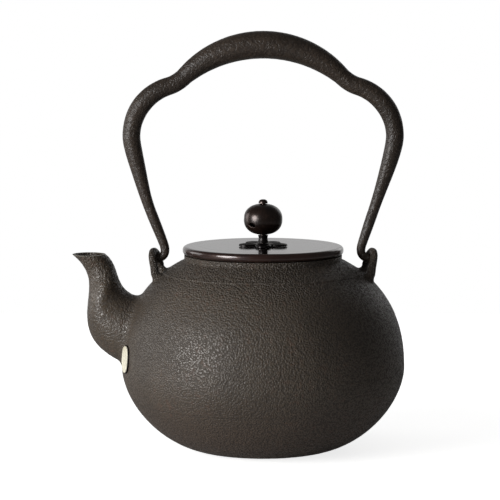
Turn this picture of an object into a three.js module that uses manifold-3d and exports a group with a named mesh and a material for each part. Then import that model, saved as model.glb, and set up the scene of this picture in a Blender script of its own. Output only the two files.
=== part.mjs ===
// Tetsubin: a cast-iron kettle with a short spout, a drop-in bronze lid and a bail that swings in two ears.
// Millimetres, +Z up. The origin is the centre of the flat underside. The spout points along -X and
// the bail swings about an axis parallel to X.
import * as THREE from "three";
import { mergeVertices } from "three/addons/utils/BufferGeometryUtils.js";
import Module from "manifold-3d";

// Clearances
const seatGap = 0.3; // between a piece and what it rests on
const cutOverrun = 1; // how far a cutter runs past the face that it opens

// Body: two superellipse arcs meet at the belly, its widest circle
const bellyRadius = 83.2;
const bellyHeight = 48.6;
const baseRadius = 34;
const lowerRoundness = 1.72; // exponent of the arc from the base to the belly
const upperRoundness = 2.31; // exponent of the arc from the belly to the neck
const domeRise = 72.3; // height above the belly at which the upper arc would close on the axis
const bodyWall = 3;

// Neck and mouth
const neckRadius = 46.3;
const neckHeight = 2.9;
const neckFillet = 1.4;
const rimWidth = 3.3;

// Fine raised line round the shoulder
const ringRadius = 58;
const ringBead = 0.6;

// Spout: its side view has an outer and an inner line. Points are distances out from the belly and heights.
const spoutHeel = new THREE.Vector2(-7.2, 47); // lowest point of the root, inside the body's wall
const spoutHeelPull = new THREE.Vector2(6.8, 52);
const spoutPouch = new THREE.Vector2(20.4, 79); // fullest point of the pouch
const spoutPouchPull = 14.5;
const spoutNeckPull = new THREE.Vector2(14.3, 103); // draws the outer line in under the lip
const spoutThroat = new THREE.Vector2(-14.2, 89.5); // highest point of the root, inside the body's wall
const spoutThroatPull = new THREE.Vector2(-1.2, 90.5);
const spoutLipPull = new THREE.Vector2(1.8, 102);
const spoutLipInner = 9.7;
const spoutLipOuter = 28.9;
const spoutLipHeight = 115.3;
const spoutWidths = [38, 31, 17.5, 20.5]; // at the root, pouch, neck and lip
const spoutNeckShare = 0.84; // how far along the spout its neck is
const spoutWall = 2.6;
const spoutLip = 1.1;

// Ears: arched loops of round bar on the shoulder, one each side, leaning out and splayed towards the front
const earInset = 20.4; // belly to the middle of the loop at the height of the hinge axis
const earHingeRise = 11.3; // hinge axis above the shoulder
const earTopRise = 5.1; // top of the bar's centreline above the hinge axis
const earHalfSpan = 6.2; // bar's centreline either side of the hinge axis
const earFootHalfSpan = 8.4;
const earLean = THREE.MathUtils.degToRad(13.5);
const earSplay = THREE.MathUtils.degToRad(14);
const earBar = 3.9;
const earFootBar = 5.8;
const earFootDepth = 6; // how far the feet are carried down before the shoulder trims them

// Bail: the centreline of one half, with heights measured up from the hinge axis
const bailRise = 125.6;
const bailCrownRadius = 66.4;
const bailCrownSweep = THREE.MathUtils.degToRad(43.6);
const bailBendPull = 4; // pull of the S-bend between crown and shoulder
const bailHalfWidth = 77;
const bailSideRise = 72.2;
const bailShoulderRadius = 30.5;
const bailShoulderSweep = THREE.MathUtils.degToRad(73);
const bailLegBendPull = 9;
const bailLegStraightPull = 30;
const bailLegLean = THREE.MathUtils.degToRad(18.3);
const bailLegSetback = 4.6; // how far inside the ear the leg ends
const bailLegEndRise = 9.2;
const bailHookPull = 5.4;
const bailHookDip = THREE.MathUtils.degToRad(12); // slope of the hook as it leaves the ear
const bailTipReach = 0.8; // hook beyond the middle of the ear
const bailCrownThickness = 16.1;
const bailCrownDepth = 18;
const bailWaistThickness = 10.3;
const bailShoulderThickness = 10.7;
const bailSideThickness = 10.4;
const bailLegThickness = 6.2;
const bailLegTaperEnd = 0.72; // share of the leg over which the shoulder thins down to it
const bailHookThickness = 5;

// Lid: a flat bronze plate with a rounded edge and a flange that drops into the mouth
const lidOverhang = 0.9; // past the neck, all round
const lidEdgeHeight = 4.9;
const lidEdgeRound = 2.1;
const lidPlate = 3.4;
const flangeClearance = 0.8;
const flangeWall = 2.2;
const flangeDepth = 7;

// Knob: flower seat, beaded neck, hollow ball and a headed pin that holds the stack to the lid
const petalCount = 5;
const petalReach = 14.4;
const petalLength = 11.6;
const petalWidth = 9.6;
const petalHeight = 1.3;
const petalEdge = 0.5;
const seatMiddleRadius = 6.4; // of the disc that joins the petals
const knobNeckHeight = 4.4;
const knobNeckFoot = 3.3;
const knobNeckFootEdge = 0.6;
const knobNeckWaist = 2.3;
const knobNeckWaistRise = 1.6;
const knobNeckBead = 2.9;
const knobNeckBeadHeight = 1.4;
const knobNeckCap = 0.5;
const knobWidth = 22.7;
const knobHeight = 18.2;
const knobWall = 1.5;
// Worm-eaten slots in the ball: degrees round it from the front, rise above its middle, size and tilt
const wormSlots = [
  { turn: -38, rise: -2.8, length: 4.4, width: 2.2, tilt: 12 },
  { turn: -92, rise: 0.6, length: 3.6, width: 2, tilt: -35 },
  { turn: 118, rise: -1.5, length: 5, width: 2.2, tilt: 28 },
];
const pinRadius = 1.5;
const pinClearance = 0.35; // round the pin in every piece that it passes through
const pinHeadRadius = 2.15;
const pinHeadHeight = 2.3;
const pinLegRadius = 0.7;
const pinLegReach = 6.5;
const pinLegDrop = 1.4; // middle of the bent legs below the washer
const washerRadius = 5.5;
const washerThickness = 1;

// Facets
const bodySegments = 64;
const bodySideSteps = 8; // in each of the body's two arcs
const hollowSideSteps = 6;
const ringSides = 6;
const spoutSteps = 14;
const spoutSides = 18;
const earSteps = 18;
const earSides = 10;
const bailSteps = [7, 3, 8, 6, 6, 1]; // along the crown, bend, shoulder, leg, hook and tip of half the bail
const bailSides = 12;
const lidSegments = 56;
const edgeSteps = 4;
const knobSegments = 26;
const knobSideSteps = 14;
const knobHollowSteps = 8;
const slotSegments = 10;
const pinSegments = 14;
const pinLegSteps = 8;
const weldDistance = 1e-4;

const quarterTurn = Math.PI / 2;

const wasm = await Module();
wasm.setup();

// A closed geometry as a solid that can be joined and cut.
function solidOf(geometry) {
  const bare = geometry.clone();
  bare.deleteAttribute("normal");
  bare.deleteAttribute("uv");
  const merged = mergeVertices(bare, weldDistance);
  return new wasm.Manifold(
    new wasm.Mesh({
      numProp: 3,
      vertProperties: merged.attributes.position.array,
      triVerts: new Uint32Array(merged.index.array),
    }),
  );
}

// Turns a profile of [radius, height] points round Z. The profile runs with its outside on the right.
function revolve(profile, segments) {
  const points = profile.map(([radius, height]) => new THREE.Vector2(radius, height));
  return solidOf(new THREE.LatheGeometry(points, segments).rotateX(quarterTurn));
}

// Carries a unit disc through a travel of 0 to 1. pointAt(travel, u, v) says where the disc's point
// (u, v) lies, with u, v and the travel right-handed.
function carry(steps, sides, pointAt) {
  const disc = new THREE.Shape().absarc(0, 0, 1, 0, 2 * Math.PI);
  const rod = new THREE.ExtrudeGeometry(disc, {
    depth: 1,
    steps,
    curveSegments: sides / 2,
    bevelEnabled: false,
  });
  const position = rod.attributes.position;
  for (let i = 0; i < position.count; i++) {
    const point = pointAt(position.getZ(i), position.getX(i), position.getY(i));
    position.setXYZ(i, point.x, point.y, point.z);
  }
  return solidOf(rod);
}

// The value at a travel, easing between stops of [travel, value].
function eased(stops, travel) {
  const next = stops.findIndex(([at]) => at >= travel);
  if (next < 1) return next < 0 ? stops.at(-1)[1] : stops[0][1];
  const [from, before] = stops[next - 1];
  const [to, after] = stops[next];
  return THREE.MathUtils.lerp(before, after, THREE.MathUtils.smoothstep(travel, from, to));
}

function evenly(count, valueAt) {
  return Array.from({ length: count + 1 }, (_, i) => valueAt(i / count));
}

// An arc in a profile, from one angle to another round a centre at [radius, height].
function profileArc([centreRadius, centreHeight], [across, up], from, to, count) {
  return evenly(count, (share) => {
    const angle = THREE.MathUtils.lerp(from, to, share);
    return [centreRadius + across * Math.cos(angle), centreHeight + up * Math.sin(angle)];
  });
}

// Height of the outside of the shoulder at a distance from the axis.
function shoulderHeight(radius) {
  const share = (radius / bellyRadius) ** upperRoundness;
  return bellyHeight + domeRise * (1 - share) ** (1 / upperRoundness);
}

const rimHeight = shoulderHeight(neckRadius) + neckHeight;
const earOffset = bellyRadius - earInset;
const mouthRadius = neckRadius - rimWidth;
const hingeHeight = shoulderHeight(earOffset) + earHingeRise;

// The side of the body from the base's edge up to a radius on the shoulder, moved out by an offset.
function bodySide(topRadius, offset, steps) {
  const lower = evenly(steps, (share) => {
    const angle = share * quarterTurn;
    const out = Math.sin(angle) ** (2 / lowerRoundness);
    const up = 1 - Math.cos(angle) ** (2 / lowerRoundness);
    return [THREE.MathUtils.lerp(baseRadius, bellyRadius, out), bellyHeight * up];
  });
  const topAngle = Math.acos((topRadius / bellyRadius) ** (upperRoundness / 2));
  const upper = evenly(steps, (share) => {
    const angle = share * topAngle;
    const out = Math.cos(angle) ** (2 / upperRoundness);
    const up = Math.sin(angle) ** (2 / upperRoundness);
    return [bellyRadius * out, bellyHeight + domeRise * up];
  });
  const side = [...lower, ...upper.slice(1)];
  return side.map(([radius, height], i) => {
    if (i === 0) return [radius, height - offset];
    const [radiusBefore, heightBefore] = side[i - 1];
    const [radiusAfter, heightAfter] = side[Math.min(i + 1, side.length - 1)];
    const along = new THREE.Vector2(radiusAfter - radiusBefore, heightAfter - heightBefore);
    along.normalize();
    return [radius + offset * along.y, height - offset * along.x];
  });
}

// The body without its hollow, grown by an offset.
function bodyEnvelope(offset) {
  const side = bodySide(neckRadius + neckFillet, offset, bodySideSteps);
  const filletTop = side.at(-1)[1] + neckFillet;
  return revolve(
    [
      [0, -offset],
      ...side,
      [neckRadius + offset, filletTop],
      [neckRadius + offset, rimHeight],
      [0, rimHeight],
    ],
    bodySegments,
  );
}

// The hollow inside the body, open through the mouth.
function bodyHollow() {
  const side = bodySide(mouthRadius, -bodyWall, hollowSideSteps).filter(
    ([radius, height]) => height < bellyHeight || radius > mouthRadius,
  );
  return revolve(
    [
      [0, bodyWall],
      ...side,
      [mouthRadius, shoulderHeight(mouthRadius) - bodyWall],
      [mouthRadius, rimHeight + cutOverrun],
      [0, rimHeight + cutOverrun],
    ],
    bodySegments,
  );
}

function shoulderRing(offset) {
  const centre = [ringRadius, shoulderHeight(ringRadius)];
  const size = ringBead + offset;
  return revolve(profileArc(centre, [size, size], 0, 2 * Math.PI, ringSides), bodySegments);
}

// The spout as a loft of ellipses between its outer and inner lines, shrunk by a wall and ending at a lip.
function spoutLoft(wallStops, lipHeight) {
  const pouchRise = new THREE.Vector2(0, spoutPouchPull);
  const lipOuter = new THREE.Vector2(spoutLipOuter, lipHeight);
  const lipInner = new THREE.Vector2(spoutLipInner, lipHeight);
  const heel = new THREE.CubicBezierCurve(
    spoutHeel,
    spoutHeelPull,
    spoutPouch.clone().sub(pouchRise),
    spoutPouch,
  );
  const outer = new THREE.CubicBezierCurve(
    spoutPouch,
    spoutPouch.clone().add(pouchRise),
    spoutNeckPull,
    lipOuter,
  );
  const inner = new THREE.CubicBezierCurve(spoutThroat, spoutThroatPull, spoutLipPull, lipInner);
  const [rootWidth, pouchWidth, neckWidth, lipWidth] = spoutWidths;
  const widthStops = [
    [0, rootWidth],
    [0.5, pouchWidth],
    [spoutNeckShare, neckWidth],
    [1, lipWidth],
  ];
  return carry(spoutSteps, spoutSides, (travel, u, v) => {
    const front = travel < 0.5 ? heel.getPoint(travel * 2) : outer.getPoint(travel * 2 - 1);
    const back = inner.getPoint(travel);
    const middle = front.clone().add(back).divideScalar(2);
    const wall = eased(wallStops, travel);
    const reach = front.clone().sub(back);
    reach.setLength(reach.length() / 2 - wall);
    const halfWidth = eased(widthStops, travel) / 2 - wall;
    const out = bellyRadius + middle.x + reach.x * u;
    return new THREE.Vector3(-out, -halfWidth * v, middle.y + reach.y * u);
  });
}

// The spout's bore, from inside the hollow to past the lip.
function spoutBore() {
  const walls = [
    [0, spoutWall],
    [spoutNeckShare, spoutWall],
    [1, spoutLip],
  ];
  return spoutLoft(walls, spoutLipHeight + cutOverrun);
}

function kettleBody() {
  return bodyEnvelope(0).add(shoulderRing(0)).subtract(bodyHollow()).subtract(spoutBore());
}

// The spout from the body's side out to the lip. It is poured with the body, so its bore runs straight on
// through the body's wall.
function spout() {
  return spoutLoft([[0, 0]], spoutLipHeight).subtract(bodyEnvelope(seatGap)).subtract(spoutBore());
}

// The ear on the +X side: a bar bent over in an arch, its feet trimmed to the shoulder.
function ear() {
  const foot = -(earHingeRise + earFootDepth);
  const arch = new THREE.Path();
  arch.moveTo(-earFootHalfSpan, foot);
  arch.bezierCurveTo(-earFootHalfSpan, foot / 2, -earHalfSpan, foot / 3, -earHalfSpan, 0);
  arch.absellipse(0, 0, earHalfSpan, earTopRise, Math.PI, 0, true, 0);
  arch.bezierCurveTo(earHalfSpan, foot / 3, earFootHalfSpan, foot / 2, earFootHalfSpan, foot);
  const hoop = carry(earSteps, earSides, (travel, u, v) => {
    const { x: back, y: rise } = arch.getPointAt(travel);
    const along = arch.getTangentAt(travel);
    const bar = THREE.MathUtils.mapLinear(rise, earTopRise, foot, earBar, earFootBar) / 2;
    const point = new THREE.Vector3(bar * v, back - along.y * bar * u, rise + along.x * bar * u);
    point.x += point.z * Math.tan(earLean);
    return point.applyAxisAngle(new THREE.Vector3(0, 0, 1), earSplay);
  });
  const shoulder = bodyEnvelope(seatGap).add(shoulderRing(seatGap));
  return hoop.translate([earOffset, 0, hingeHeight]).subtract(shoulder);
}

function unit(angle) {
  return new THREE.Vector2(Math.cos(angle), Math.sin(angle));
}

// Centreline of half the bail, from the top of the crown to the tip of the hook.
function bailHalfLine() {
  const crown = new THREE.Vector2(0, bailRise - bailCrownRadius);
  const shoulder = new THREE.Vector2(bailHalfWidth - bailShoulderRadius, bailSideRise);
  const crownAngle = quarterTurn - bailCrownSweep;
  const crownEnd = unit(crownAngle).multiplyScalar(bailCrownRadius).add(crown);
  const shoulderStart = unit(bailShoulderSweep).multiplyScalar(bailShoulderRadius).add(shoulder);
  const bendIn = unit(crownAngle - quarterTurn).multiplyScalar(bailBendPull).add(crownEnd);
  const bendOut = unit(bailShoulderSweep + quarterTurn).multiplyScalar(bailBendPull).add(shoulderStart);
  const legUp = unit(quarterTurn - bailLegLean);
  const legEnd = new THREE.Vector2(earOffset - bailLegSetback, bailLegEndRise);
  const legPull = legUp.clone().multiplyScalar(bailLegStraightPull).add(legEnd);
  const hookPull = legUp.clone().multiplyScalar(-bailHookPull).add(legEnd);
  const hook = new THREE.Vector2(earOffset, 0);
  const hookOut = unit(-bailHookDip);
  const hookIn = hookOut.clone().multiplyScalar(-bailHookPull).add(hook);
  const tip = hookOut.clone().multiplyScalar(bailTipReach).add(hook);
  const line = new THREE.Path();
  line.absarc(crown.x, crown.y, bailCrownRadius, quarterTurn, crownAngle, true);
  line.bezierCurveTo(bendIn.x, bendIn.y, bendOut.x, bendOut.y, shoulderStart.x, shoulderStart.y);
  line.absarc(shoulder.x, shoulder.y, bailShoulderRadius, bailShoulderSweep, 0, true);
  const legTop = bailSideRise - bailLegBendPull;
  line.bezierCurveTo(bailHalfWidth, legTop, legPull.x, legPull.y, legEnd.x, legEnd.y);
  line.bezierCurveTo(hookPull.x, hookPull.y, hookIn.x, hookIn.y, hook.x, hook.y);
  line.lineTo(tip.x, tip.y);
  return line;
}

// Where the bail's cross-sections stand, as shares of the half line, from the ends of its curves.
function bailShares(ends) {
  const shares = [0];
  bailSteps.forEach((count, curve) => {
    const from = shares.at(-1);
    for (let step = 1; step <= count; step++) {
      shares.push(THREE.MathUtils.lerp(from, ends[curve], step / count));
    }
  });
  return shares;
}

function bail() {
  const line = bailHalfLine();
  const total = line.getLength();
  const ends = line.getCurveLengths().map((length) => length / total);
  const [crownEnd, shoulderStart, shoulderEnd, legEnd] = ends;
  const stops = [
    [crownEnd, bailWaistThickness],
    [(shoulderStart + shoulderEnd) / 2, bailShoulderThickness],
    [shoulderEnd, bailSideThickness],
    [THREE.MathUtils.lerp(shoulderEnd, legEnd, bailLegTaperEnd), bailLegThickness],
    [1, bailHookThickness],
  ];
  const sizeAt = (middle, share) =>
    share < crownEnd
      ? THREE.MathUtils.lerp(middle, bailWaistThickness, (share / crownEnd) ** 2)
      : eased(stops, share);
  const shares = bailShares(ends);
  const last = shares.length - 1;
  return carry(2 * last, bailSides, (travel, u, v) => {
    const side = travel < 0.5 ? -1 : 1;
    const share = shares[Math.round(Math.abs(2 * travel - 1) * last)];
    const point = line.getPointAt(share);
    const along = line.getTangentAt(share);
    const rise = (sizeAt(bailCrownThickness, share) / 2) * u;
    const depth = (sizeAt(bailCrownDepth, share) / 2) * v;
    return new THREE.Vector3(
      side * (point.x - along.y * rise),
      -depth,
      hingeHeight + point.y + along.x * rise,
    );
  });
}

const lidUnderside = rimHeight + seatGap;
const lidTop = lidUnderside + lidEdgeHeight;
const plateUnderside = lidTop - lidPlate;
const pinHole = pinRadius + pinClearance;

function lid() {
  const edge = neckRadius + lidOverhang - lidEdgeRound;
  const flangeOuter = mouthRadius - flangeClearance;
  const flangeInner = flangeOuter - flangeWall;
  const flangeFoot = lidUnderside - flangeDepth;
  const round = [lidEdgeRound, lidEdgeRound];
  return revolve(
    [
      [pinHole, plateUnderside],
      [flangeInner, plateUnderside],
      [flangeInner, flangeFoot],
      [flangeOuter, flangeFoot],
      [flangeOuter, lidUnderside],
      ...profileArc([edge, lidUnderside + lidEdgeRound], round, -quarterTurn, 0, edgeSteps),
      ...profileArc([edge, lidTop - lidEdgeRound], round, 0, quarterTurn, edgeSteps),
      [pinHole, lidTop],
      [pinHole, plateUnderside],
    ],
    lidSegments,
  );
}

// A low domed disc with an upright edge, its flat side at height 0.
function dome(radius) {
  const crown = profileArc([0, petalEdge], [radius, petalHeight - petalEdge], 0, quarterTurn, edgeSteps);
  return revolve([[0, 0], [radius, 0], ...crown], pinSegments);
}

// A plain drum round the Z axis.
function drum(radius, foot, top) {
  return revolve(
    [
      [0, foot],
      [radius, foot],
      [radius, top],
      [0, top],
    ],
    pinSegments,
  );
}

const seatFoot = lidTop + seatGap;
const knobNeckBase = seatFoot + petalHeight + seatGap;
const knobBase = knobNeckBase + knobNeckHeight + seatGap;
const knobMiddle = knobBase + knobHeight / 2;

function knobSeat() {
  const petal = dome(petalLength / 2)
    .scale([petalWidth / petalLength, 1, 1])
    .translate([0, petalLength / 2 - petalReach, 0]);
  let flower = dome(seatMiddleRadius);
  for (let i = 0; i < petalCount; i++) {
    flower = flower.add(petal.rotate([0, 0, (360 / petalCount) * i]));
  }
  flower = flower.add(drum(knobNeckFoot, 0, petalHeight));
  const hole = drum(pinHole, -cutOverrun, petalHeight + cutOverrun);
  return flower.subtract(hole).translate([0, 0, seatFoot]);
}

function knobNeck() {
  const top = knobNeckBase + knobNeckHeight;
  const waist = knobNeckBase + knobNeckWaistRise;
  const bead = [knobNeckBead - knobNeckWaist, knobNeckBeadHeight / 2];
  return revolve(
    [
      [pinHole, knobNeckBase],
      [knobNeckFoot, knobNeckBase],
      [knobNeckFoot, knobNeckBase + knobNeckFootEdge],
      [knobNeckWaist, waist],
      ...profileArc([knobNeckWaist, waist + knobNeckBeadHeight], bead, -quarterTurn, quarterTurn, edgeSteps),
      [knobNeckBead, top - knobNeckCap],
      [knobNeckBead, top],
      [pinHole, top],
      [pinHole, knobNeckBase],
    ],
    pinSegments,
  );
}

// A slot through the wall of the ball, worn to a smooth oval.
function wormSlot({ turn, rise, length, width, tilt }) {
  const slot = new THREE.SphereGeometry(1, slotSegments, slotSegments / 2);
  slot.scale(length / 2, 2 * knobWall, width / 2);
  slot.rotateY(THREE.MathUtils.degToRad(tilt));
  slot.translate(0, -knobWidth / 2 + knobWall / 2, 0);
  slot.rotateZ(THREE.MathUtils.degToRad(turn));
  slot.translate(0, 0, knobMiddle + rise);
  return solidOf(slot);
}

function knobBall() {
  const middle = [0, knobMiddle];
  const outside = [knobWidth / 2, knobHeight / 2];
  const inside = [outside[0] - knobWall, outside[1] - knobWall];
  const outerEnd = Math.acos(pinHole / outside[0]);
  const innerEnd = Math.acos(pinHole / inside[0]);
  const outer = profileArc(middle, outside, -outerEnd, outerEnd, knobSideSteps);
  const inner = profileArc(middle, inside, innerEnd, -innerEnd, knobHollowSteps);
  let ball = revolve([...outer, ...inner, outer[0]], knobSegments);
  for (const slot of wormSlots) ball = ball.subtract(wormSlot(slot));
  return ball;
}

const washerTop = plateUnderside - seatGap;
const washerFoot = washerTop - washerThickness;

function pinWasher() {
  const plate = drum(washerRadius, washerFoot, washerTop);
  return plate.subtract(drum(pinHole, washerFoot - cutOverrun, washerTop + cutOverrun));
}

// The pin's domed head sits on the ball, and its split end is bent apart under the washer.
function knobPin() {
  const headFoot = knobBase + knobHeight + seatGap;
  const legHeight = washerFoot - pinLegDrop;
  const shankFoot = legHeight + pinLegRadius;
  const headCrown = profileArc([0, headFoot], [pinHeadRadius, pinHeadHeight], 0, quarterTurn, edgeSteps);
  const shank = revolve(
    [[0, shankFoot], [pinRadius, shankFoot], [pinRadius, headFoot], ...headCrown],
    pinSegments,
  );
  const start = pinRadius - pinLegRadius;
  const legLine = new THREE.QuadraticBezierCurve(
    new THREE.Vector2(start, washerFoot),
    new THREE.Vector2(start, legHeight),
    new THREE.Vector2(pinLegReach, legHeight),
  );
  const leg = carry(pinLegSteps, pinLegSteps, (travel, u, v) => {
    const point = legLine.getPointAt(travel);
    const along = legLine.getTangentAt(travel);
    return new THREE.Vector3(
      point.x - along.y * pinLegRadius * u,
      -pinLegRadius * v,
      point.y + along.x * pinLegRadius * u,
    );
  });
  return shank.add(leg).add(leg.rotate([0, 0, 180]));
}

// Finishes
const castIron = () => new THREE.MeshStandardMaterial({ color: 0x2b2622, roughness: 0.62, metalness: 0.55 });
const forgedIron = () => new THREE.MeshStandardMaterial({ color: 0x2e2a26, roughness: 0.55, metalness: 0.6 });
const lidBronze = () => new THREE.MeshStandardMaterial({ color: 0x3a2826, roughness: 0.16, metalness: 0.9 });
const darkBronze = () => new THREE.MeshStandardMaterial({ color: 0x241d1a, roughness: 0.38, metalness: 0.8 });

const kettle = new THREE.Group();

function addPiece(name, solid, material) {
  const made = solid.getMesh();
  const geometry = new THREE.BufferGeometry();
  geometry.setAttribute("position", new THREE.BufferAttribute(made.vertProperties, 3));
  geometry.setIndex(new THREE.BufferAttribute(made.triVerts, 1));
  geometry.computeVertexNormals();
  const mesh = new THREE.Mesh(geometry, material);
  mesh.name = name;
  kettle.add(mesh);
}

addPiece("kettle_body", kettleBody(), castIron());
addPiece("spout", spout(), castIron());
addPiece("rear_ear", ear(), castIron());
addPiece("spout_side_ear", ear().mirror([1, 0, 0]), castIron());
addPiece("bail_handle", bail(), forgedIron());
addPiece("lid", lid(), lidBronze());
addPiece("knob_seat", knobSeat(), darkBronze());
addPiece("knob_neck", knobNeck(), darkBronze());
addPiece("knob_ball", knobBall(), darkBronze());
addPiece("knob_pin", knobPin(), darkBronze());
addPiece("pin_washer", pinWasher(), darkBronze());

export default kettle;
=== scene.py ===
import math

import bpy
import numpy as np
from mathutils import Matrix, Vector, bvhtree, kdtree


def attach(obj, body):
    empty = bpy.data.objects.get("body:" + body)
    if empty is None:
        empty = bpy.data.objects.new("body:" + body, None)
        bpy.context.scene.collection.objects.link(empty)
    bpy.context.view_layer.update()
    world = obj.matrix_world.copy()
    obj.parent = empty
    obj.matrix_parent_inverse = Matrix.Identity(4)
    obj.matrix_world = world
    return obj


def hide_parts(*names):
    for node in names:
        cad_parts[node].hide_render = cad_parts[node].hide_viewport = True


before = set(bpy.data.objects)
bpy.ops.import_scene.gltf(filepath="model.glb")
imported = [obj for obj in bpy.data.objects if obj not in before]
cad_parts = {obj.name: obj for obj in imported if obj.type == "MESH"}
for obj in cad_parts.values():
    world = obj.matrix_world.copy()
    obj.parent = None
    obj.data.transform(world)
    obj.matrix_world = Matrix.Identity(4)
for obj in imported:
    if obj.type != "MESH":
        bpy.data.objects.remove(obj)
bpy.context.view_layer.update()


# Kettle casting: body, neck, rim and pouch-shaped spout poured in one piece of iron, with the two arched
# ears set in the mould and run into the shoulder. The skin is fine sand grain under dark baked lacquer.
# Lengths are in millimetres here and below, but in metres in materials and where a comment says so.
quarter = math.pi / 2
belly_radius, belly_height, base_radius = 83.2, 48.6, 34.0
lower_roundness, upper_roundness, dome_rise = 1.72, 2.31, 72.3
body_wall = 3.0
neck_radius, neck_height, neck_fillet, rim_width = 46.3, 2.9, 1.4, 3.3
mouth_radius = neck_radius - rim_width
spout_heel, spout_heel_pull, spout_belly_pull = (76, 47), (86.5, 54), 20.5
spout_pouch, spout_pouch_pull, spout_neck_pull = (103.6, 79), 14.5, (97.5, 103)
spout_throat, spout_throat_pull, spout_lip_pull = (69, 89.5), (90, 91.7), (82.3, 109.1)
spout_lip_inner, spout_lip_outer, spout_lip_height = 92.9, 112.1, 115.3
spout_widths = [(0, 38), (0.5, 31), (0.84, 17.5), (1, 20.5)]  # (share of the way along, width)
spout_walls = [(0, 2.6), (0.84, 2.6), (1, 1.1)]  # (share of the way along, wall)
ear_offset, ear_hinge_rise, ear_top_rise = 62.8, 11.3, 4.8
ear_half_span, ear_foot_half_span, ear_foot_depth = 6.2, 8.4, 6.0
ear_lean, ear_splay = math.radians(13.5), math.radians(14)
ear_bar, ear_foot_bar, ear_bar_depth = 3.7, 5.8, 1.12
ear_inner_share = 0.74  # how deep the bar is towards the lid, where the swung bail passes it
skin_spacing = 1.13  # between the points of the casting's skin
body_margin = 0.75 * skin_spacing  # points nearer than this to the body's outline are the body's
cut_overrun = 3.0  # how far a form runs on past the face that it is cut off at
spout_limit = -68.5  # the x beyond which points off the body belong to the spout
spout_fillet, ear_fillet = 3.2, 2.2  # how far the joints of spout and ears are blended into the body
blend_core, blend_passes, blend_step = 0.25, 26, 0.55  # the core is the fillet's fully blended share
press_start, press_end = 0.7, 1.3  # shares of the fillet over which points return to the exact form
grain_seed, own_grain, shared_grain = 11, 0.45, 0.55  # shares of a point's own grain and its neighbours'
belly_pits, shoulder_pits, pit_rise = 0.08, 0.14, (94, 106)  # depth, and what is added over that rise
ear_pits, pit_spacing = 0.3, 0.92  # share of the depth on the ears, and the spacing that it is for
rim_clear, pits_full = 1.0, 2.5  # distances from the rim's cut at which pits start and are full
rim_drum_radius, lip_drum_radius, lip_drum_height = 52, 16, 10  # what trims the rim and the lip


def evenly(count):
    """Shares from 0 to 1 in that many steps."""
    return np.linspace(0.0, 1.0, count + 1)


def smooth(value, low, high):
    """0 below low and 1 above high, with a soft step."""
    share = np.clip((np.asarray(value, float) - low) / (high - low), 0, 1)
    return share * share * (3 - 2 * share)


def eased(stops, travel):
    """The value at a travel, easing between stops of (travel, value)."""
    for (before, low), (after, high) in zip(stops, stops[1:]):
        if travel <= after:
            return low + (high - low) * float(smooth(travel, before, after))
    return stops[-1][1]


def shoulder_height(radius):
    """The height of the shoulder's outside at a distance from the axis."""
    share = (radius / belly_radius) ** upper_roundness
    return belly_height + dome_rise * (1 - share) ** (1 / upper_roundness)


rim_height = shoulder_height(neck_radius) + neck_height
hinge_height = shoulder_height(ear_offset) + ear_hinge_rise


def body_side(top_radius, offset, steps):
    """The body's side as [radius, height], from the base to a radius on the shoulder, moved out."""
    angle = evenly(steps) * quarter
    out = np.sin(angle) ** (2 / lower_roundness)
    up = 1 - np.cos(angle) ** (2 / lower_roundness)
    lower = np.column_stack([base_radius + (belly_radius - base_radius) * out, belly_height * up])
    top_angle = math.acos((top_radius / belly_radius) ** (upper_roundness / 2))
    angle = evenly(steps)[1:] * top_angle
    upper = np.column_stack(
        [
            belly_radius * np.cos(angle) ** (2 / upper_roundness),
            belly_height + dome_rise * np.sin(angle) ** (2 / upper_roundness),
        ]
    )
    side = np.vstack([lower, upper])
    along = np.gradient(side, axis=0)
    along[0] = (1, 0)
    along /= np.linalg.norm(along, axis=1)[:, None]
    return side + offset * np.column_stack([along[:, 1], -along[:, 0]])


def revolved(profile, segments):
    """Turns a [radius, height] profile, outside to its right, round Z. A closed one repeats its start."""
    profile = np.asarray(profile, float)
    closed = np.allclose(profile[0], profile[-1])
    if closed:
        profile = profile[:-1]
    turn = np.arange(segments) * 2 * math.pi / segments
    points, rings = [], []
    for radius, height in profile:
        count = 1 if radius < 1e-6 else segments
        rings.append([len(points) + i for i in range(count)] * (segments // count))
        ring = [(radius * math.cos(a), radius * math.sin(a), height) for a in turn[:count]]
        points.extend(ring)
    faces = []
    pairs = list(zip(rings, rings[1:]))
    if closed:
        pairs.append((rings[-1], rings[0]))
    for low, high in pairs:
        for i in range(segments):
            j = (i + 1) % segments
            face = [low[i], low[j], high[j], high[i]]
            face = [p for k, p in enumerate(face) if p != face[k - 1]]
            if len(face) > 2:
                faces.append(face)
    return np.array(points), faces


def outward(points, faces):
    """The same solid with its faces pointing out."""
    volume = sum(
        np.dot(points[face[0]], np.cross(points[face[i]], points[face[i + 1]]))
        for face in faces
        for i in range(1, len(face) - 1)
    )
    return points, faces if volume > 0 else [face[::-1] for face in faces]


def skinned(rings):
    """A closed solid through rings of points of shape (rings, sides, 3)."""
    rings = np.asarray(rings, float)
    count, sides = rings.shape[:2]
    faces = [list(range(sides)), [(count - 1) * sides + i for i in range(sides)][::-1]]
    for k in range(count - 1):
        for i in range(sides):
            j = (i + 1) % sides
            faces.append([k * sides + i, (k + 1) * sides + i, (k + 1) * sides + j, k * sides + j])
    return outward(rings.reshape(-1, 3), faces)


def joined(solids):
    """Several solids as one list of points and one of faces."""
    points, faces, start = [], [], 0
    for some, more in solids:
        points.append(some)
        faces.extend([[start + p for p in face] for face in more])
        start += len(some)
    return np.vstack(points), faces


def made_object(name, solid, edges=()):
    """A new object whose mesh holds the solid's place, turned from millimetres to metres."""
    points, faces = solid
    mesh = bpy.data.meshes.new(name)
    mesh.from_pydata((np.asarray(points) / 1000).tolist(), edges, faces)
    mesh.update()
    made = bpy.data.objects.new(name, mesh)
    bpy.context.scene.collection.objects.link(made)
    return made


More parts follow.
